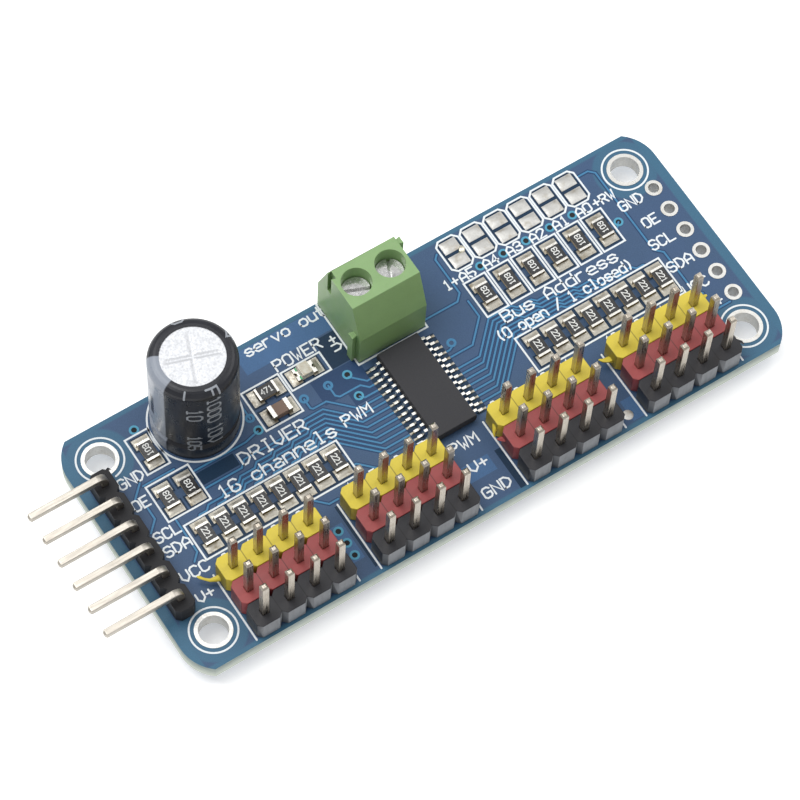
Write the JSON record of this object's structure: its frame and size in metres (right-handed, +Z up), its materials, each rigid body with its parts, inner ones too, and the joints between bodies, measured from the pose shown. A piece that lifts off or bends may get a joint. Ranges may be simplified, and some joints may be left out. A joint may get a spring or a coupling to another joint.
{
  "type": "servo driver board",
  "caption": "Flat circuit board with rows of upright three-colour servo pins, a bent side header, a green screw terminal with working screws, and a tall capacitor.",
  "frame": {"origin": "centre of the four mounting holes, on the underside of the board", "axes": "+X along the board from the bent header to the spare header holes, +Y from the servo pins to the screw terminal, +Z up through the board"},
  "size_m": [0.0679, 0.0254, 0.015],
  "materials": {
    "solder_mask_board": "blue solder mask over glass-fibre laminate, semi-gloss, pale green-grey at the cut edge",
    "tinned_pad": "tinned copper, uneven satin to bright",
    "yellow_header_plastic": "moulded yellow plastic, satin, small flash at the cut ends",
    "red_header_plastic": "moulded red plastic, satin",
    "black_header_plastic": "moulded black plastic, satin, greyer where cut",
    "header_pin_metal": "tin-plated brass, drawn lengthwise, warm reflections",
    "solder": "bright solder with soft uneven gloss",
    "chip_epoxy": "black moulded epoxy, fine grain, unmarked",
    "chip_lead_metal": "tinned lead frame",
    "capacitor_aluminium": "brushed aluminium with a pressed cross on top",
    "capacitor_sleeve_film": "shrunk glossy black film with a pale grey stripe",
    "capacitor_rubber": "black rubber plug",
    "capacitor_foil": "wound foil and paper",
    "green_terminal_plastic": "moulded green plastic, satin, slightly translucent",
    "screw_steel": "nickel-plated steel, bright",
    "clamp_steel": "nickel-plated steel",
    "contact_brass": "tin-plated brass",
    "led_base_plastic": "pale laminate base",
    "led_clear_resin": "cloudy clear resin",
    "part_end_metal": "tinned end caps",
    "resistor_black": "black glaze over white ceramic",
    "brown_ceramic": "brown fired ceramic"
  },
  "bodies": {
    "circuit_board": {"board": "solder_mask_board", "hole_plating": "tinned_pad", "spare_hole_plating": "tinned_pad", "pin_hole_plating": "tinned_pad", "surface_pads": "tinned_pad", "jumper_pads": "tinned_pad", "signal_strip_1": "yellow_header_plastic", "signal_strip_2": "yellow_header_plastic", "signal_strip_3": "yellow_header_plastic", "signal_strip_4": "yellow_header_plastic", "power_strip_1": "red_header_plastic", "power_strip_2": "red_header_plastic", "power_strip_3": "red_header_plastic", "power_strip_4": "red_header_plastic", "ground_strip_1": "black_header_plastic", "ground_strip_2": "black_header_plastic", "ground_strip_3": "black_header_plastic", "ground_strip_4": "black_header_plastic", "signal_pins": "header_pin_metal", "power_pins": "header_pin_metal", "ground_pins": "header_pin_metal", "control_strip": "black_header_plastic", "control_pins": "header_pin_metal", "servo_solder": "solder", "control_solder": "solder", "terminal_solder": "solder", "capacitor_solder": "solder", "chip_body": "chip_epoxy", "chip_leads": "chip_lead_metal", "capacitor_can": "capacitor_aluminium", "capacitor_sleeve": "capacitor_sleeve_film", "capacitor_seal": "capacitor_rubber", "capacitor_winding": "capacitor_foil", "capacitor_leads": "header_pin_metal", "terminal_housing": "green_terminal_plastic", "terminal_contact_1": "contact_brass", "terminal_contact_2": "contact_brass", "led_body": "led_base_plastic", "led_lens": "led_clear_resin", "led_ends": "part_end_metal", "output_resistors": "resistor_black", "output_resistor_ends": "part_end_metal", "address_resistors": "resistor_black", "address_resistor_ends": "part_end_metal", "pullup_resistors": "resistor_black", "pullup_resistor_ends": "part_end_metal", "led_resistor": "resistor_black", "led_resistor_ends": "part_end_metal", "bypass_capacitor": "brown_ceramic", "bypass_capacitor_ends": "part_end_metal"},
    "screw_1": {"terminal_screw_1": "screw_steel"},
    "screw_2": {"terminal_screw_2": "screw_steel"},
    "clamp_1": {"terminal_clamp_1": "clamp_steel"},
    "clamp_2": {"terminal_clamp_2": "clamp_steel"}
  },
  "joints": [
    {"name": "screw_1_turn", "type": "hinge", "parent": "circuit_board", "child": "screw_1", "pos_m": [-0.00175, 0.0091, 0.0076], "axis": [0, 0, -1], "range_deg": [0, 1170]},
    {"name": "clamp_1_lift", "type": "slide", "parent": "circuit_board", "child": "clamp_1", "axis": [0, 0, 1], "range_m": [0, 0.0013]},
    {"name": "screw_2_turn", "type": "hinge", "parent": "circuit_board", "child": "screw_2", "pos_m": [0.00175, 0.0091, 0.0076], "axis": [0, 0, -1], "range_deg": [0, 1170]},
    {"name": "clamp_2_lift", "type": "slide", "parent": "circuit_board", "child": "clamp_2", "axis": [0, 0, 1], "range_m": [0, 0.0013]}
  ],
  "couplings": [
    {"joint": "screw_1_turn", "follows": "clamp_1_lift", "rad_per_m": 15708},
    {"joint": "screw_2_turn", "follows": "clamp_2_lift", "rad_per_m": 15708}
  ]
}
